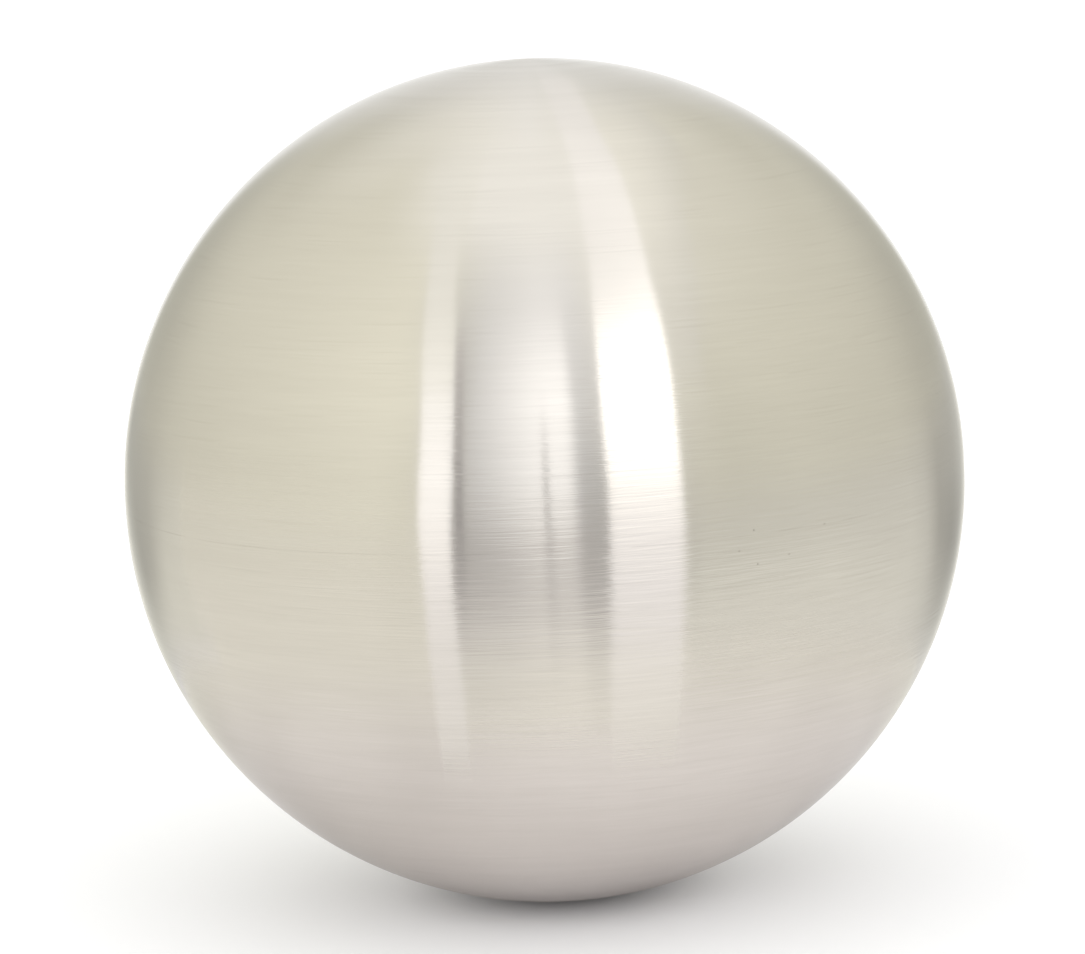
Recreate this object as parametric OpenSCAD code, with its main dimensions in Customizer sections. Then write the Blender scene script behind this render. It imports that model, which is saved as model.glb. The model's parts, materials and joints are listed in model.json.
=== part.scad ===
// Hollow steel ball: two pressed halves, welded together round the equator and ground flush.
// The origin is the ball's centre, and +Z runs through its poles, square to the weld.
// All sizes are in millimetres.

/* [Ball] */
// Outside diameter of the pressed halves, which is the ball's diameter at the weld
ball_d = 100; // [60:1:150]
// Thickness of the sheet that the halves are pressed from
wall = 1.5; // [1:0.1:3]

/* [Weld] */
// Height of the band of weld metal between the two rims, which makes the ball taller than wide
weld_h = 0.5; // [0.2:0.1:1.5]
// Width of the weld's root bead, along the inner wall
root_w = 3.5; // [2.5:0.1:6]
// How far the root bead stands in from the inner wall
root_h = 0.6; // [0.3:0.1:1.2]

/* [Hidden] */
$fn = 96;
outer_r = ball_d / 2;
inner_r = outer_r - wall;
// Radius of the root bead's round face, from its width and height
root_r = (pow(root_w / 2, 2) + pow(root_h, 2)) / (2 * root_h);
// The root bead is melted into the wall as far as the middle of the sheet
root_back = inner_r + wall / 2;
// A square larger than any section, to cut one down to the part of it above the rim
section_cut = 2 * ball_d;
steel = [0.78, 0.76, 0.72];

// One pressed half: a deep hemispherical cup of even wall, turned over, with its rim at z = 0
module pressed_half() {
    rotate_extrude()
        difference() {
            intersection() {
                circle(r = outer_r);
                square(section_cut);
            }
            circle(r = inner_r);
        }
}

// Weld metal between the rims, ground flush with the outside of both halves
module weld_band() {
    rotate_extrude()
        translate([inner_r, -weld_h / 2])
            square([wall, weld_h]);
}

// The low round bead that the weld leaves along the inside, where no grinder reaches
module root_bead() {
    rotate_extrude()
        intersection() {
            translate([inner_r - root_h + root_r, 0])
                circle(r = root_r);
            translate([0, -section_cut / 2])
                square([root_back, section_cut]);
        }
}

// The finished ball, one closed shell
module ball() {
    color(steel) {
        for (side = [0, 1])
            mirror([0, 0, side])
                translate([0, 0, weld_h / 2])
                    pressed_half();
        weld_band();
        root_bead();
    }
}

ball();
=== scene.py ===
import json
import math

import bpy
from mathutils import Matrix, Vector

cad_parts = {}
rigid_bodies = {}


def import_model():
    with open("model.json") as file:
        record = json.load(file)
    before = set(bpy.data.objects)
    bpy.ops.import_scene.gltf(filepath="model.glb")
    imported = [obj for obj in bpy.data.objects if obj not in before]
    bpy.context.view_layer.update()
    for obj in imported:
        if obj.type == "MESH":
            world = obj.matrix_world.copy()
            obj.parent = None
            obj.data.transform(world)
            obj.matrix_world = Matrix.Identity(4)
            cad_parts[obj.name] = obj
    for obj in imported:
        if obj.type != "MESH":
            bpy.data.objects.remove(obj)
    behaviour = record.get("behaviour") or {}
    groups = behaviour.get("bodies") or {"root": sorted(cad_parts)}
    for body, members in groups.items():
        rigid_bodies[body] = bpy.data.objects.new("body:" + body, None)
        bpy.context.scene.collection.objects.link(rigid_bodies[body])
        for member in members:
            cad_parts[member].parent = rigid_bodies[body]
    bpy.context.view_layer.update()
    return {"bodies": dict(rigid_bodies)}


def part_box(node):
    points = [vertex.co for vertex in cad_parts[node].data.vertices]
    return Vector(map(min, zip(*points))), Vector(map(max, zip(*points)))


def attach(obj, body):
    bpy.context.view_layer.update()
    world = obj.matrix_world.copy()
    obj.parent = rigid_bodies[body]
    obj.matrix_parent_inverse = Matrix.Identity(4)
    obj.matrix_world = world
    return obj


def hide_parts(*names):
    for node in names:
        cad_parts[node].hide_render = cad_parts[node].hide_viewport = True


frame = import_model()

ballLow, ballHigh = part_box("ball")
ballRadius = (ballHigh.x - ballLow.x) / 2
weldHeight = (ballHigh.z - ballLow.z) - 2 * ballRadius  # the weld parts the two halves
floorHeight = ballLow.z
bodyName = next(iter(frame["bodies"]))
print("frame loaded: ball of", round(2000 * ballRadius, 2), "mm")


class Wire:  # a node's output that takes part in sums, so that trees read as expressions
    def __init__(self, graph, socket):
        self.graph = graph
        self.socket = socket

    def __add__(self, other):
        return self.graph.maths("ADD", self, other)

    def __radd__(self, other):
        return self.graph.maths("ADD", other, self)

    def __sub__(self, other):
        return self.graph.maths("SUBTRACT", self, other)

    def __rsub__(self, other):
        return self.graph.maths("SUBTRACT", other, self)

    def __mul__(self, other):
        return self.graph.maths("MULTIPLY", self, other)

    def __rmul__(self, other):
        return self.graph.maths("MULTIPLY", other, self)

    def __truediv__(self, other):
        return self.graph.maths("DIVIDE", self, other)

    def __pow__(self, other):
        return self.graph.maths("POWER", self, other)

    def __neg__(self):
        return self.graph.maths("MULTIPLY", self, -1)

    def __abs__(self):
        return self.graph.maths("ABSOLUTE", self)

    def limit(self, low, high):
        return self.graph.maths("MAXIMUM", self.graph.maths("MINIMUM", self, high), low)

    def ramp(self, low, high):  # 0 at low, 1 at high, eased at both ends
        return self.graph.add(
            "ShaderNodeMapRange",
            {"interpolation_type": "SMOOTHSTEP"},
            {"Value": self, "From Min": low, "From Max": high},
        )

    def part(self, axis):
        return self.graph.add("ShaderNodeSeparateXYZ", None, {0: self}, axis)


class Graph:
    def __init__(self, tree):
        self.tree = tree
        tree.nodes.clear()

    def add(self, kind, settings=None, sockets=None, out=0):
        node = self.tree.nodes.new(kind)
        for name, value in (settings or {}).items():
            if name == "stops":
                self.setStops(node.color_ramp, value)
            else:
                setattr(node, name, value)
        for name, value in (sockets or {}).items():
            if isinstance(value, Wire):
                self.tree.links.new(value.socket, node.inputs[name])
            else:
                node.inputs[name].default_value = value
        return Wire(self, node.outputs[out]) if node.outputs else node

    def setStops(self, ramp, stops):
        while len(ramp.elements) > 1:
            ramp.elements.remove(ramp.elements[-1])
        for number, (place, colour) in enumerate(stops):
            stop = ramp.elements[0] if number == 0 else ramp.elements.new(place)
            stop.position = place
            stop.color = (*colour, 1)

    def maths(self, operation, *values):
        return self.add("ShaderNodeMath", {"operation": operation}, dict(enumerate(values)))

    def join(self, x, y, z):
        return self.add("ShaderNodeCombineXYZ", None, {0: x, 1: y, 2: z})

    def levelDistance(self, x, y):
        level = {0: self.join(x, y, 0)}
        return self.add("ShaderNodeVectorMath", {"operation": "LENGTH"}, level, "Value")

    def noise(self, place, detail):
        sockets = {"Vector": place, "Scale": 1.0, "Detail": detail}
        return self.add("ShaderNodeTexNoise", {"noise_dimensions": "3D"}, sockets)

    def mixColours(self, share, first, second):
        node = self.tree.nodes.new("ShaderNodeMix")
        node.data_type = "RGBA"
        for name, value in (("Factor_Float", share), ("A_Color", first), ("B_Color", second)):
            socket = next(s for s in node.inputs if s.identifier == name)
            if isinstance(value, Wire):
                self.tree.links.new(value.socket, socket)
            else:
                socket.default_value = value
        return Wire(self, next(s for s in node.outputs if s.identifier == "Result_Color"))


def newMaterial(name):
    material = bpy.data.materials.new(name)
    material.use_nodes = True
    return material, Graph(material.node_tree)


cameraLook = {
    "distance": 10.0,  # ball radii from the ball's centre
    "elevation": 9.0,  # degrees above the weld's plane
    "roll": 2.6,  # degrees, so that the poles lean to the left
    "imageWidth": 1085,
    "imageHeight": 954,
    "ballRadiusInImage": 420.3,
    "ballCentreInImage": (544.7, 480.0),
    "sensorWidth": 36,  # millimetres
    "clip": (0.01, 50),  # metres
}


def makeCamera(look):
    data = bpy.data.cameras.new("camera")
    camera = bpy.data.objects.new("camera", data)
    bpy.context.scene.collection.objects.link(camera)
    lift = math.radians(look["elevation"])
    lean = math.radians(look["roll"])
    back = Vector((0, -math.cos(lift), math.sin(lift)))
    levelRight = Vector((1, 0, 0))
    levelUp = back.cross(levelRight)
    right = math.cos(lean) * levelRight - math.sin(lean) * levelUp
    up = math.sin(lean) * levelRight + math.cos(lean) * levelUp
    turn = Matrix((right, up, back)).transposed().to_4x4()
    camera.matrix_world = Matrix.Translation(back * look["distance"] * ballRadius) @ turn
    focalPixels = look["ballRadiusInImage"] * math.sqrt(look["distance"] ** 2 - 1)
    data.sensor_width = look["sensorWidth"]
    data.lens = focalPixels / look["imageWidth"] * data.sensor_width
    centreX, centreY = look["ballCentreInImage"]
    data.shift_x = (look["imageWidth"] / 2 - centreX) / look["imageWidth"]
    data.shift_y = (centreY - look["imageHeight"] / 2) / look["imageWidth"]
    data.clip_start, data.clip_end = look["clip"]
    bpy.context.scene.camera = camera


makeCamera(cameraLook)
print("camera set")


ballShape = {
    "columns": 384,  # faces round the ball
    "rings": 256,  # faces from pole to pole
    "weldCrowding": 0.3,  # ring spacing at the weld, as a share of the even spacing
    "waveSize": 1.6,  # how many waves of pressing unevenness lie across the ball
    "waveDepth": 0.00008,  # metres
    "blendHeight": 0.002,  # metres over which grinding blends one half into the other
    "seed": 7.0,
    "waveStretch": (1, 1, 0.6),  # fewer waves from pole to pole than round the ball
    "halfShift": (5.0, 3.0),  # sideways and up, from one half's waves to the other's
    "partingSharpness": 1000,  # how suddenly the halves part at the weld
    "mergeDistance": 0.000001,  # metres, closes the seam and the poles
}


def ballTree(shape, material):
    tree = bpy.data.node_groups.new("pressedBall", "GeometryNodeTree")
    graph = Graph(tree)
    for name in (
        "Radius", "Weld Height", "Crowding", "Wave Size", "Wave Depth", "Blend Height", "Seed",
    ):
        tree.interface.new_socket(name, in_out="INPUT", socket_type="NodeSocketFloat")
    for name in ("Columns", "Rings"):
        tree.interface.new_socket(name, in_out="INPUT", socket_type="NodeSocketInt")
    tree.interface.new_socket("Mesh", in_out="OUTPUT", socket_type="NodeSocketGeometry")
    entry = tree.nodes.new("NodeGroupInput")
    sizes = {socket.name: Wire(graph, socket) for socket in entry.outputs[:-1]}

    grid = graph.add(
        "GeometryNodeMeshGrid",
        None,
        {
            "Size X": 1.0,
            "Size Y": 1.0,
            "Vertices X": sizes["Columns"] + 1,
            "Vertices Y": sizes["Rings"] + 1,
        },
    )
    place = graph.add("GeometryNodeInputPosition")
    turn = place.part(0) * (2 * math.pi)
    share = place.part(1) * 2  # -1 at the lower pole, 1 at the upper
    crowding = sizes["Crowding"]
    latitude = (share * crowding + share * share * share * (1 - crowding)) * (math.pi / 2)
    ring = graph.maths("COSINE", latitude)
    rise = graph.maths("SINE", latitude)
    outward = graph.join(
        ring * graph.maths("COSINE", turn),
        ring * graph.maths("SINE", turn),
        rise,
    )
    # each half was pressed by itself, so each has its own slight waves,
    # and grinding blends them at the weld
    shiftOut, shiftUp = shape["halfShift"]
    waves = []
    for half in (0, 1):
        shift = graph.join(sizes["Seed"], half * shiftOut, half * shiftUp)
        shifted = graph.add(
            "ShaderNodeVectorMath",
            {"operation": "MULTIPLY_ADD"},
            {0: outward, 1: shape["waveStretch"], 2: shift},
        )
        scaled = graph.add(
            "ShaderNodeVectorMath",
            {"operation": "SCALE"},
            {0: shifted, "Scale": sizes["Wave Size"]},
        )
        waves.append(graph.noise(scaled, detail=0.0))
    arc = latitude * sizes["Radius"]
    upper = arc.ramp(-sizes["Blend Height"], sizes["Blend Height"])
    wave = waves[0] * (1 - upper) + waves[1] * upper
    radius = sizes["Radius"] - sizes["Wave Depth"] * wave
    side = (rise * shape["partingSharpness"]).limit(-1, 1)  # -1 below the weld, 1 above
    parting = graph.join(0.0, 0.0, side * sizes["Weld Height"] * 0.5)
    spot = graph.add("ShaderNodeVectorMath", {"operation": "SCALE"}, {0: outward, "Scale": radius})
    spot = graph.add("ShaderNodeVectorMath", {"operation": "ADD"}, {0: spot, 1: parting})
    skin = grid
    for kind, sockets in (
        ("GeometryNodeSetPosition", {"Position": spot}),
        ("GeometryNodeMergeByDistance", {"Distance": shape["mergeDistance"]}),
        ("GeometryNodeSetShadeSmooth", {"Shade Smooth": True}),
        ("GeometryNodeRealizeInstances", {}),
        ("GeometryNodeSetMaterial", {"Material": material}),
    ):
        skin = graph.add(kind, None, {"Geometry": skin, **sockets})
    leave = tree.nodes.new("NodeGroupOutput")
    tree.links.new(skin.socket, leave.inputs[0])
    return tree


def makeBall(shape, material):
    tree = ballTree(shape, material)
    maker = bpy.data.objects.new("ballMaker", bpy.data.meshes.new("ballMaker"))
    bpy.context.scene.collection.objects.link(maker)
    modifier = maker.modifiers.new("pressedBall", "NODES")
    modifier.node_group = tree
    values = {
        "Radius": ballRadius,
        "Weld Height": weldHeight,
        "Crowding": shape["weldCrowding"],
        "Wave Size": shape["waveSize"],
        "Wave Depth": shape["waveDepth"],
        "Blend Height": shape["blendHeight"],
        "Seed": shape["seed"],
        "Columns": shape["columns"],
        "Rings": shape["rings"],
    }
    for item in tree.interface.items_tree:
        if item.in_out == "INPUT":
            modifier[item.identifier] = values[item.name]
    bpy.context.view_layer.update()
    evaluated = maker.evaluated_get(bpy.context.evaluated_depsgraph_get())
    mesh = bpy.data.meshes.new_from_object(evaluated)
    bpy.data.objects.remove(maker)
    mesh.name = "brushedBall"
    ball = bpy.data.objects.new("brushedBall", mesh)
    bpy.context.scene.collection.objects.link(ball)
    return ball


steelLook = {
    "colour": (0.67, 0.64, 0.598, 1),
    "lineColour": (0.581, 0.55, 0.508, 1),  # in the bottoms of the brush lines
    "weldColour": (0.42, 0.39, 0.36, 1),  # in the fine groove left along the weld
    "roughness": 0.16,
    "anisotropic": 1.0,
    "anisotropicRotation": 0.25,  # light spreads across the brush lines, not along them
    "roughnessChange": (0.05, 0.06),  # how much the brush lines and the bands change it
    # metres along, metres across, shift of the pattern, metres deep
    "hair": (0.006, 0.00014, 0.0, 0.0000038),
    "brush": (0.009, 0.0004, 37.0, 0.0000065),
    "band": (0.05, 0.0025, 91.0, 0.00001),
    "scratch": (0.011, 0.00028, 11.0, 0.0000018),
    "scratchLevels": (0.7, 0.76),  # of the pattern, between which a scratch sets in
    "shades": (0.5, 0.4, 0.3, 0.15),  # share of the line colour in hair, brush, band and scratch
    "evenShade": 0.3,  # and all over
    "shadeByDepth": (0.17, 0.25),  # how hair and brush shares grow with depth, and start
    # degrees up from the weld, how many times deeper the lines are all the way round
    # and on the ground sides
    "deeper": (
        (-90, 1.5, 0), (-55, 2.3, 0), (-30, 4.0, 0), (-20, 3.8, 1.6), (-13, 0.6, 5.5),
        (-3, 0.45, 5.3), (1, 0.6, 3.3), (5, 1.1, 1.5), (9, 1.5, 1.3), (20, 0.9, 0.9),
        (30, 0.7, 0.6), (50, 0.3, 0), (90, 0.35, 0),
    ),
    "groundSide": 15.0,  # degrees round to the right; the side behind it is ground as deep
    "groove": (0.00013, 0.0000026),  # along the weld, metres from middle to edge, metres deep
    "grooveShade": 0.35,
    "grooveSide": -35.0,  # degrees round to the right, where grinding left most of the groove
    "grooveBreaks": (0.004, 0.01, 23.0),  # metres along, metres across, shift of the pattern
    "grooveLevels": (0.2, 0.5, 0.8),  # what that side adds, levels between which the groove shows
    "pinholes": (0.0026, 0.00016, 0.000001),  # beside the weld, metres apart, in radius and deep
    "pinholeReach": (0.0025, 0.006),  # metres from the weld between which they die out
    "pinholeSide": (0.4, 0.6),  # how much a spot faces the groove's side as they die out
    "pinholeColour": (0.2, 0.18, 0.16, 1),
}


def makeSteel(look):
    material, graph = newMaterial("brushedSteel")
    at = graph.add("ShaderNodeTexCoord", out="Object")
    x, y, z = at.part(0), at.part(1), at.part(2)
    level = graph.levelDistance(x, y)
    rise = graph.maths("ARCSINE", (z / ballRadius).limit(-1, 1))
    arc = rise * ballRadius  # metres from the weld, along the skin

    def streaks(along, across, shift, detail=1.0):
        return graph.noise(graph.join(x / along, y / along, arc / across + shift), detail)

    def facing(degrees):  # 1 where the skin faces that way round, -1 behind
        side = math.radians(degrees)
        return (x * math.sin(side) - y * math.cos(side)) / level

    deepest = max(max(times) for degrees, *times in look["deeper"])
    stops = [
        (degrees / 180 + 0.5, (allRound / deepest, ground / deepest, 0))
        for degrees, allRound, ground in look["deeper"]
    ]
    deeper = graph.add("ShaderNodeValToRGB", {"stops": stops}, {"Fac": rise / math.pi + 0.5})
    depth = (deeper.part(0) + deeper.part(1) * facing(look["groundSide"]) ** 4) * deepest

    *hairSize, hairDepth = look["hair"]
    *brushSize, brushDepth = look["brush"]
    *bandSize, bandDepth = look["band"]
    hair = streaks(*hairSize) - 0.5
    brush = streaks(*brushSize) - 0.5
    band = streaks(*bandSize) - 0.5

    sideAdds, *grooveLevels = look["grooveLevels"]
    grooveWidth, grooveDepth = look["groove"]
    grooveSide = facing(look["grooveSide"])
    kept = (streaks(*look["grooveBreaks"]) + grooveSide * sideAdds).ramp(*grooveLevels)
    groove = (1 - (abs(arc) / grooveWidth).limit(0, 1)) ** 2 * kept

    apart, pinholeRadius, pinholeDepth = look["pinholes"]
    cells = graph.add("ShaderNodeTexVoronoi", {"feature": "F1"}, {"Vector": at, "Scale": 1 / apart})
    pinholes = 1 - (cells * apart).ramp(0, pinholeRadius)
    pinholes = pinholes * (1 - abs(arc).ramp(*look["pinholeReach"]))
    pinholes = pinholes * (1 - grooveSide.ramp(*look["pinholeSide"]))

    *scratchSize, scratchDepth = look["scratch"]
    scratch = streaks(*scratchSize, detail=0.0).ramp(*look["scratchLevels"])

    relief = (hair * hairDepth + brush * brushDepth) * depth + band * bandDepth
    relief = relief - groove * grooveDepth - scratch * scratchDepth - pinholes * pinholeDepth
    bump = graph.add("ShaderNodeBump", None, {"Height": relief, "Distance": 1.0, "Strength": 1.0})

    hairShade, brushShade, bandShade, scratchShade = look["shades"]
    growth, start = look["shadeByDepth"]
    shade = (brush * brushShade + hair * hairShade) * (depth * growth + start)
    shade = shade + band * bandShade + look["evenShade"] + scratch * scratchShade
    colour = graph.mixColours(shade.limit(0, 1), look["colour"], look["lineColour"])
    colour = graph.mixColours(groove * look["grooveShade"], colour, look["weldColour"])
    colour = graph.mixColours(pinholes, colour, look["pinholeColour"])
    brushChange, bandChange = look["roughnessChange"]
    shader = graph.add(
        "ShaderNodeBsdfPrincipled",
        None,
        {
            "Base Color": colour,
            "Metallic": 1.0,
            "Roughness": look["roughness"] + band * bandChange + brush * brushChange,
            "Anisotropic": look["anisotropic"],
            "Anisotropic Rotation": look["anisotropicRotation"],
            "Normal": bump,
        },
    )
    graph.add("ShaderNodeOutputMaterial", None, {"Surface": shader})
    return material


floorLook = {
    "colour": (0.86, 0.865, 0.91, 1),
    "nearColour": (0.87, 0.845, 0.903, 1),  # as the steel sees it, a painted reflection tint: lilac near the foot, warmer farther off
    "farColour": (0.865, 0.855, 0.835, 1),
    "nearby": (0.045, 0.1),  # metres from the foot between which the one turns into the other
    "radius": 3.0,
    "sides": 96,
    "glow": 0.2,  # lifts the table to white for the camera
    "steelGlow": (0.11, 0.035),  # painted light on the table, which only the steel sees: its glow near the ball and far from it
    # place, inner reach, outer reach and glow of painted pools of light and of dimmer patches of
    # painted shade, which only the steel sees
    "pools": (
        (0.02, -0.05, 0.018, 0.056, 0.125), (-0.014, -0.017, 0.01, 0.026, 0.06),
        (-0.048, -0.033, 0.01, 0.026, 0.06), (0.052, -0.004, 0.008, 0.026, 0.055),
        (0.026, -0.009, 0.005, 0.016, 0.05), (0, 0.08, 0.07, 0.12, -0.1),
        (-0.25, -0.36, 0.04, 0.13, -0.1), (-0.137, -0.2, 0.01, 0.045, -0.07),
        (-0.075, -0.12, 0.008, 0.03, -0.06), (0.046, -0.061, 0.007, 0.026, -0.08),
        (-0.077, 0.03, 0.01, 0.03, -0.05),
    ),
    "glowFade": (0.09, 0.25),  # metres from the foot between which the near glow dies out
    "foot": (0.002, 0.023),  # metres from the foot between which any glow sets in, so the table is darker round the foot: a painted contact shadow
    "toCamera": (1.0, 0.0),  # roughness and shine: matte to the camera, polished to the steel
    "toSteel": (0.08, 0.5),
}


def makeFloor(look):
    mesh = bpy.data.meshes.new("floor")
    radius = look["radius"]
    corners = [2 * math.pi * k / look["sides"] for k in range(look["sides"])]
    points = [(radius * math.cos(a), radius * math.sin(a), floorHeight) for a in corners]
    mesh.from_pydata(points, [], [tuple(range(look["sides"]))])
    floor = bpy.data.objects.new("floor", mesh)
    bpy.context.scene.collection.objects.link(floor)
    material, graph = newMaterial("paleTable")
    camera = graph.add("ShaderNodeLightPath", out="Is Camera Ray")
    glossy = graph.add("ShaderNodeLightPath", out="Is Glossy Ray")
    through = graph.add("ShaderNodeLightPath", out="Is Transmission Ray")
    at = graph.add("ShaderNodeTexCoord", out="Object")
    away = graph.levelDistance(at.part(0), at.part(1))
    far = away.ramp(*look["nearby"])
    # painted light and shade on the table, which only the steel sees: more glow near the ball,
    # pools of light and dimmer patches
    nearGlow, farGlow = look["steelGlow"]
    steelGlow = away.ramp(*look["glowFade"]) * (farGlow - nearGlow) + nearGlow
    for poolX, poolY, inner, outer, poolGlow in look["pools"]:
        fromPool = graph.levelDistance(at.part(0) - poolX, at.part(1) - poolY)
        steelGlow = steelGlow + (1 - fromPool.ramp(inner, outer)) * poolGlow
    steelSees = (glossy + through).limit(0, 1)
    # the glow dies out round the foot, a painted contact shadow for the camera and the steel
    glow = (camera * look["glow"] + steelSees * steelGlow) * away.ramp(*look["foot"])
    # the table's colour in the steel's reflection is a painted reflection tint
    steelColour = graph.mixColours(far, look["nearColour"], look["farColour"])

    def top(colour, roughness, shine):
        sockets = {
            "Base Color": colour,
            "Roughness": roughness,
            "Specular IOR Level": shine,
            "Emission Color": (1, 1, 1, 1),
            "Emission Strength": glow,
        }
        return graph.add("ShaderNodeBsdfPrincipled", None, sockets)

    matte = top(look["colour"], *look["toCamera"])
    polished = top(steelColour, *look["toSteel"])
    table = graph.add("ShaderNodeMixShader", None, {0: camera, 1: polished, 2: matte})
    graph.add("ShaderNodeOutputMaterial", None, {"Surface": table})
    mesh.materials.append(material)


# the light tent's cloth in three rings and a roof: degrees to the right of the camera,
# brightness, warmth
tentLook = {
    "low": (
        (-180, 0.97, 0.2), (-168, 0.9, 0.3), (-162, 0.58, 1), (-157, 0.57, 1), (-147, 0.61, 1),
        (-134, 0.71, 1), (-124, 0.81, 1), (-112, 0.88, 1), (-90, 0.97, 1), (-60, 1.03, 1),
        (-46, 1.06, 1), (-36, 1.0, 1), (-26, 0.62, 0.3), (-21.5, 0.84, 0.2), (-18, 0.93, 0),
        (-8, 1.24, 0), (0, 1.46, 0), (6.3, 1.42, 0), (9.3, 0.72, 0), (17, 0.66, 0.2),
        (38, 0.84, 0.8), (44, 0.86, 1), (53, 0.84, 1), (72, 0.885, 1), (112, 0.82, 1),
        (124, 0.74, 1), (134, 0.66, 1), (148, 0.59, 1), (157, 0.58, 1), (162, 0.6, 1),
        (168, 0.9, 0.3), (180, 0.97, 0.2),
    ),
    "middle": (
        (-180, 1.05, 0.2), (-175, 1.0, 0.2), (-169, 0.91, 0.3), (-164, 0.88, 0.5), (-157, 0.75, 1),
        (-146, 0.82, 1), (-120, 0.95, 1), (-90, 1.02, 1), (-60, 1.13, 1), (-46, 1.17, 1),
        (-38, 1.16, 1), (-27, 0.72, 0.3), (-23, 0.85, 0.2), (-19, 1.05, 0), (-8, 1.42, 0),
        (0, 1.66, 0), (7.3, 1.7, 0), (10, 1.05, 0), (18, 0.98, 0.2), (42, 1.03, 0.8),
        (52, 0.94, 1), (64, 0.96, 1), (100, 0.93, 1), (130, 0.87, 1), (147, 0.82, 1),
        (157, 0.8, 1), (164, 0.88, 0.5), (169, 0.9, 0.3), (175, 1.0, 0.2), (180, 1.05, 0.2),
    ),
    "high": (
        (-180, 1.26, 0.2), (-165, 1.2, 0.5), (-150, 1.09, 0.6), (-138, 1.05, 0.8), (-120, 1.0, 1),
        (-90, 1.04, 1), (-52, 1.12, 1), (-40, 0.98, 0.7), (-20, 1.05, 0.1), (0, 1.2, 0),
        (15, 1.17, 0), (22, 1.15, 0.3), (55, 1.1, 0.7), (90, 1.03, 0.85), (130, 0.98, 0.85),
        (155, 1.12, 0.7), (180, 1.26, 0.2),
    ),
    "roof": (1.31, 0.3),
    "lifts": (4, 30, 58, 78),  # degrees up at which the three rings and the roof hold
    "warmCloth": (1.01, 1.0, 0.875),
    "coolCloth": (0.985, 0.99, 1.0),
    "strength": 2.0,  # the rings hold shares of it, because a ramp's colours stop at 1
    "backdrop": (0.5, 0.5, 0.5, 1),  # share of it behind the ball, for the camera
}


def makeTent(look):
    world = bpy.data.worlds.new("tent")
    bpy.context.scene.world = world
    world.use_nodes = True
    graph = Graph(world.node_tree)
    way = graph.add("ShaderNodeTexCoord", out="Generated")
    x, y, z = way.part(0), way.part(1), way.part(2)
    turn = graph.maths("ARCTAN2", x, -y) / (2 * math.pi) + 0.5
    lift = graph.maths("ARCSINE", z.limit(-1, 1))

    def cloth(brightness, warmth):
        pairs = zip(look["coolCloth"], look["warmCloth"])
        share = brightness / look["strength"]
        return tuple(share * (cool + (warm - cool) * warmth) for cool, warm in pairs)

    rings = []
    for name in ("low", "middle", "high"):
        stops = [((degrees + 180) / 360, cloth(*rest)) for degrees, *rest in look[name]]
        rings.append(graph.add("ShaderNodeValToRGB", {"stops": stops}, {"Fac": turn}))
    roof = (*cloth(*look["roof"]), 1)
    lifts = [math.radians(degrees) for degrees in look["lifts"]]
    tent = rings[0]
    for upper, low, high in zip((*rings[1:], roof), lifts, lifts[1:]):
        tent = graph.mixColours(lift.ramp(low, high), tent, upper)
    camera = graph.add("ShaderNodeLightPath", out="Is Camera Ray")
    seen = graph.mixColours(camera, tent, look["backdrop"])
    light = graph.add("ShaderNodeBackground", None, {"Color": seen, "Strength": look["strength"]})
    graph.add("ShaderNodeOutputWorld", None, {"Surface": light})


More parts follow.
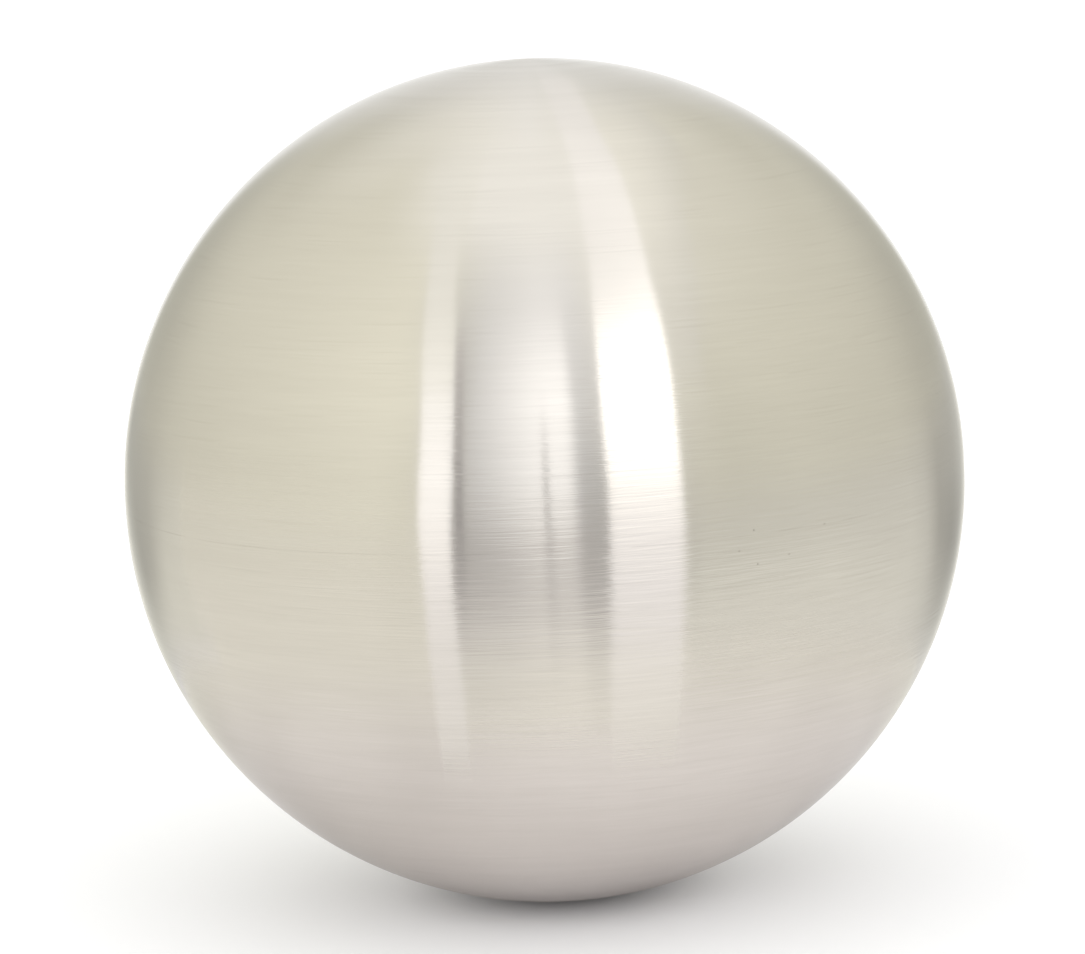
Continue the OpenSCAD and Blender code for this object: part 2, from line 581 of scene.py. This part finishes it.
# sheets of lit cloth, each given by its rows, from the table up and over; a spot in a row is
# degrees to the right of the camera, degrees up from the ball's middle, and brightness;
# away is in metres
sheets = {
    "keyStrip": {
        "away": 2.0,
        "colour": (1, 0.995, 0.985),
        "rows": (
            ((16.5, -1, 1.4), (36.2, -1, 1.39)),
            ((16.4, 8, 1.58), (36.4, 8, 1.79)),
            ((16.4, 18, 2.3), (36.9, 18, 2.3)),
            ((17.4, 30, 2.4), (39.6, 30, 2.4)),
            ((19.7, 44, 1.75), (44.7, 44, 2.05)),
            ((21.6, 50, 1.54), (47.6, 50, 1.7)),
            ((23.2, 55, 1.36), (51.2, 56, 1.47)),
            ((30.4, 63.6, 1.365), (58.9, 60.5, 1.5)),
            ((37.6, 72.3, 1.35), (66.8, 64.9, 1.43)),
            ((127, 79.5, 1.42), (95.5, 70.5, 1.45)),
            ((165, 68, 1.33), (130, 69.3, 1.33)),
            ((172, 60, 1.23), (155.3, 62.5, 1.23)),
            ((177, 44, 1.19), (170.5, 46, 1.2)),
            ((179, 31, 1.06), (174.3, 32, 1.03)),
        ),
    },
    "keyHalo": {
        "away": 2.0,
        "colour": (1, 0.995, 0.93),
        "rows": (
            ((39.6, 30, 1.04), (44.5, 30, 1.01), (49, 30, 0.96)),
            ((44.7, 44, 1.06), (52, 43, 1.04), (58, 42, 0.99)),
            ((47.6, 50, 1.1), (56, 48.7, 1.08), (65, 47, 1.01)),
            ((51.2, 56, 1.15), (62, 54.4, 1.12), (72, 52, 1.03)),
            ((58.9, 60.5, 1.2), (70, 58.6, 1.15), (82.5, 55.5, 1.03)),
            ((66.8, 64.9, 1.26), (79, 62.5, 1.19), (93, 59, 1.03)),
            ((95.5, 70.5, 1.29), (110, 65, 1.19), (120, 58, 1.0)),
            ((130, 69.3, 1.28), (139, 60, 1.17), (144, 50, 0.95)),
            ((155.3, 62.5, 1.23), (158, 54.5, 1.13), (160, 46, 0.98)),
        ),
    },
    "sideStrip": {
        "away": 2.0,
        "colour": (1, 1.0, 1.0),
        "rows": (
            ((-33.8, -1, 1.57), (-24, -1, 1.57)),
            ((-33.4, 8, 1.6), (-23.8, 8, 1.6)),
            ((-33.5, 20, 1.57), (-24, 20, 1.57)),
            ((-35.8, 30, 1.44), (-25.4, 30, 1.44)),
        ),
    },
    "sideStripTop": {
        "away": 2.0,
        "colour": (1, 1.0, 0.95),
        "rows": (
            ((-35.8, 30, 1.44), (-25.4, 30, 1.44)),
            ((-41, 44, 1.27), (-29.4, 45, 1.27)),
            ((-52, 58.5, 1.18), (-39.5, 60, 1.18)),
            ((-66, 65, 1.2), (-50, 69, 1.22)),
            ((-79, 69, 1.2), (-61, 74, 1.23)),
            ((-97, 70.5, 1.18), (-83, 78, 1.25)),
            ((-118, 69.5, 1.18), (-117, 79, 1.27)),
            ((-136, 63.5, 1.14), (-146, 75, 1.28)),
        ),
    },
    "sideFlag": {
        "away": 1.95,
        "colour": (1, 0.97, 0.97),
        "rows": (
            ((-24.4, -1, 0.34), (-21.4, -1, 0.42)),
            ((-24.2, 8, 0.42), (-21.5, 8, 0.47)),
            ((-24.5, 20, 0.52), (-22, 20, 0.66)),
            ((-25.7, 30, 0.6), (-23, 30, 0.64)),
            ((-29.4, 45, 0.75), (-26, 45, 0.79)),
        ),
    },
    "stand": {
        "away": 1.9,
        "colour": (1, 0.98, 0.98),
        "rows": (
            ((-0.5, -1, 0.6), (1.0, -1, 0.6)),
            ((-0.4, 12, 0.75), (0.9, 12, 0.75)),
            ((-0.3, 22, 1.05), (0.8, 22, 1.05)),
        ),
    },
}

# glowing patches lie on the table and only the steel sees them: painted light and shade of the
# table and painted reflections of the strips and flags in it; a spot in a row is degrees round the
# ball's foot from the camera's side, metres from the foot, and brightness
paintedTableLight = {
    "paintedFrontTable": {
        "colour": (1, 0.98, 0.97),
        "nearColour": (1, 0.985, 0.925),
        "rows": (
            ((-24.7, 2.0, 0.62), (-20, 2.0, 0.63), (-12, 2.0, 0.84), (-1.2, 2.0, 1.2),
             (0.3, 2.0, 0.74), (1.8, 2.0, 1.16), (6.3, 2.0, 1.12), (9.2, 2.0, 0.66),
             (16.2, 2.0, 0.6)),
            ((-24, 0.45, 0.62), (-19.5, 0.45, 0.62), (-12, 0.45, 0.76), (-1, 0.45, 1.14),
             (0.6, 0.45, 0.68), (2, 0.45, 1.1), (6.3, 0.45, 1.04), (8.9, 0.45, 0.61),
             (15.6, 0.45, 0.57)),
            ((-23.2, 0.29, 0.56), (-19, 0.29, 0.6), (-11, 0.29, 0.62), (-0.8, 0.29, 0.8),
             (0.8, 0.29, 0.54), (2.2, 0.29, 0.78), (6.5, 0.29, 0.78), (8.6, 0.29, 0.52),
             (15.2, 0.29, 0.48)),
            ((-21.7, 0.158, 0.66), (-18.5, 0.158, 0.7), (-10, 0.158, 0.76), (-0.8, 0.158, 0.88),
             (0.6, 0.158, 0.72), (1.9, 0.158, 0.84), (6.3, 0.158, 0.86), (9, 0.158, 0.72),
             (14.2, 0.158, 0.72)),
            ((-20.7, 0.11, 0.92), (-17, 0.11, 0.95), (-9, 0.11, 1.0), (-1, 0.11, 1.08),
             (0.3, 0.11, 0.97), (1.5, 0.11, 1.03), (6, 0.11, 1.04), (9, 0.11, 0.93),
             (13, 0.11, 0.94)),
            ((-19.8, 0.084, 1.01), (-16, 0.084, 1.01), (-9, 0.084, 1.04), (-1, 0.084, 1.1),
             (0.3, 0.084, 1.1), (1.5, 0.084, 1.12), (6, 0.084, 1.14), (9, 0.084, 1.06),
             (12.4, 0.084, 1.07)),
            ((-19.3, 0.062, 1.05), (-16, 0.062, 1.05), (-9, 0.062, 1.08), (-1, 0.062, 1.1),
             (0.3, 0.062, 1.1), (1.5, 0.062, 1.11), (6, 0.062, 1.12), (9, 0.062, 1.1),
             (12.3, 0.062, 1.1)),
        ),
    },
    "paintedSideFlagReflection": {
        "colour": (1, 0.97, 0.98),
        "nearColour": (1, 0.985, 0.93),
        "rows": (
            ((-24.9, 2.0, 0.3), (-21.4, 2.0, 0.34)),
            ((-24.2, 0.45, 0.3), (-20.6, 0.45, 0.34)),
            ((-23.4, 0.29, 0.34), (-20.2, 0.29, 0.4)),
            ((-21.8, 0.163, 0.54), (-19.4, 0.163, 0.62)),
            ((-20.8, 0.112, 0.9), (-19, 0.112, 0.94)),
        ),
    },
    "paintedSideStripReflection": {
        "colour": (1, 0.985, 0.985),
        "nearColour": (1, 0.985, 0.965),
        "rows": (
            ((-33.6, 2.0, 1.5), (-25, 2.0, 1.5)),
            ((-32.2, 0.45, 1.46), (-24.2, 0.45, 1.46)),
            ((-31, 0.29, 1.36), (-23.4, 0.29, 1.36)),
            ((-28.8, 0.163, 1.2), (-21.7, 0.163, 1.2)),
            ((-27.9, 0.112, 1.19), (-20.8, 0.112, 1.19)),
            ((-26.6, 0.085, 1.12), (-19.8, 0.085, 1.12)),
            ((-26.4, 0.067, 1.15), (-19.3, 0.067, 1.15)),
            ((-26.1, 0.053, 1.05), (-19.7, 0.053, 1.05)),
        ),
    },
    "paintedKeyStripReflection": {
        "colour": (1, 0.985, 1.0),
        "nearColour": (1, 0.985, 0.95),
        "rows": (
            ((16, 2.0, 1.6), (35.9, 2.0, 1.6)),
            ((15, 0.45, 1.37), (34.7, 0.45, 1.37)),
            ((14.7, 0.264, 1.24), (33.1, 0.236, 1.2)),
            ((13.8, 0.152, 1.16), (30.7, 0.1435, 1.2)),
            ((12.9, 0.107, 1.18), (29.2, 0.103, 1.16)),
            ((12.4, 0.082, 1.2), (28, 0.079, 1.18)),
            ((12.3, 0.065, 1.16), (27.5, 0.063, 1.13)),
            ((12.2, 0.055, 1.14), (27, 0.053, 1.08)),
        ),
    },
    "paintedLeftCornerShade": {
        "colour": (1, 0.995, 0.908),
        "nearColour": (1, 0.985, 1.02),
        "rows": (
            ((-112, 2.0, 0.9), (-122, 2.0, 0.79), (-133, 2.0, 0.65), (-148, 2.0, 0.58),
             (-157, 2.0, 0.57), (-164, 2.0, 0.8)),
            ((-112, 0.6, 0.92), (-122, 0.6, 0.77), (-133, 0.6, 0.61), (-146, 0.6, 0.55),
             (-154, 0.6, 0.52), (-162, 0.6, 0.8)),
            ((-105, 0.2, 0.96), (-116, 0.2, 0.87), (-125.5, 0.2, 0.6), (-134, 0.2, 0.5),
             (-140, 0.2, 0.6), (-150, 0.2, 0.85)),
            ((-98, 0.13, 0.99), (-110, 0.13, 0.95), (-120, 0.13, 0.87), (-128, 0.13, 0.75),
             (-136, 0.13, 0.75), (-146, 0.13, 0.85)),
            ((-90, 0.1, 1.01), (-100, 0.1, 0.98), (-112, 0.1, 0.9), (-122, 0.1, 0.85),
             (-132, 0.1, 0.84), (-144, 0.1, 0.85)),
        ),
    },
    "paintedRightTable": {
        "colour": (1, 0.995, 0.925),
        "nearColour": (1, 0.99, 0.95),
        "rows": (
            ((36.1, 2.0, 0.77), (41, 2.0, 0.84), (74, 2.0, 0.87), (112, 2.0, 0.82),
             (122, 2.0, 0.74), (132, 2.0, 0.63), (148, 2.0, 0.58), (157, 2.0, 0.58),
             (164, 2.0, 0.8)),
            ((34.9, 0.4, 0.72), (39, 0.4, 0.81), (78, 0.4, 0.84), (110, 0.4, 0.83),
             (118, 0.4, 0.75), (127, 0.4, 0.57), (140, 0.4, 0.56), (150, 0.4, 0.62),
             (160, 0.4, 0.8)),
            ((33, 0.22, 0.68), (38, 0.22, 0.82), (76, 0.22, 0.895), (106, 0.2, 0.89),
             (115, 0.2, 0.79), (123, 0.2, 0.52), (134, 0.2, 0.43), (142, 0.2, 0.48),
             (152, 0.2, 0.8)),
            ((30.7, 0.143, 0.98), (36, 0.143, 1.06), (70, 0.143, 1.07), (100, 0.13, 0.95),
             (110, 0.13, 0.84), (119, 0.13, 0.68), (126, 0.13, 0.58), (134, 0.13, 0.6),
             (145, 0.13, 0.85)),
            ((29.2, 0.1, 0.94), (36, 0.1, 0.93), (60, 0.1, 0.89), (92, 0.09, 0.95),
             (102, 0.09, 0.9), (112, 0.09, 0.85), (120, 0.09, 0.82), (130, 0.09, 0.85),
             (142, 0.09, 0.88)),
        ),
    },
}

sheetShape = {
    "facesBetween": 4,  # two spots in a row
    "paintedPatchHeight": 0.001,  # metres above the table
    "paintedPatchNear": (0.08, 0.13),  # metres from the foot between which a painted patch's near colour dies out
}


def standingSpot(turn, lift, away):
    turn, lift = math.radians(turn), math.radians(lift)
    level = away * math.cos(lift)
    return level * math.sin(turn), -level * math.cos(turn), away * math.sin(lift)


def lyingSpot(turn, reach, height):
    turn = math.radians(turn)
    return reach * math.sin(turn), -reach * math.cos(turn), floorHeight + height


def makeSheet(name, look, shape, onTable):
    between = shape["facesBetween"]
    rows = []
    for row in look["rows"]:
        spots = [
            tuple(here + (there - here) * k / between for here, there in zip(spot, nextSpot))
            for spot, nextSpot in zip(row, row[1:])
            for k in range(between)
        ]
        rows.append(spots + [row[-1]])
    spots = [spot for row in rows for spot in row]
    if onTable:
        points = [lyingSpot(turn, reach, shape["paintedPatchHeight"]) for turn, reach, glow in spots]
    else:
        points = [standingSpot(turn, lift, look["away"]) for turn, lift, glow in spots]
    width = len(rows[0])
    corners = [row * width + k for row in range(len(rows) - 1) for k in range(width - 1)]
    mesh = bpy.data.meshes.new(name)
    mesh.from_pydata(points, [], [(c, c + 1, c + width + 1, c + width) for c in corners])
    glows = mesh.attributes.new("glow", "FLOAT", "POINT")
    glows.data.foreach_set("value", [glow for *place, glow in spots])
    sheet = bpy.data.objects.new(name, mesh)
    bpy.context.scene.collection.objects.link(sheet)
    material, graph = newMaterial(name)
    glow = graph.add("ShaderNodeAttribute", {"attribute_name": "glow"}, out="Fac")
    colour = (*look["colour"], 1)
    if onTable:
        at = graph.add("ShaderNodeTexCoord", out="Object")
        far = graph.levelDistance(at.part(0), at.part(1)).ramp(*shape["paintedPatchNear"])
        colour = graph.mixColours(far, (*look["nearColour"], 1), colour)
    light = graph.add("ShaderNodeEmission", None, {"Color": colour, "Strength": glow})
    graph.add("ShaderNodeOutputMaterial", None, {"Surface": light})
    mesh.materials.append(material)
    sheet.visible_camera = False
    # the painted patches on the table show only in reflections, light nothing and cast no shadow
    if onTable:
        sheet.visible_diffuse = sheet.visible_shadow = False


ball = makeBall(ballShape, makeSteel(steelLook))
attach(ball, bodyName)
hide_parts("ball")
print("ball made:", len(ball.data.polygons), "faces")

makeFloor(floorLook)
makeTent(tentLook)
for name, look in sheets.items():
    makeSheet(name, look, sheetShape, onTable=False)
for name, look in paintedTableLight.items():
    makeSheet(name, look, sheetShape, onTable=True)
print("stage made")

bpy.context.scene.view_settings.view_transform = "Standard"
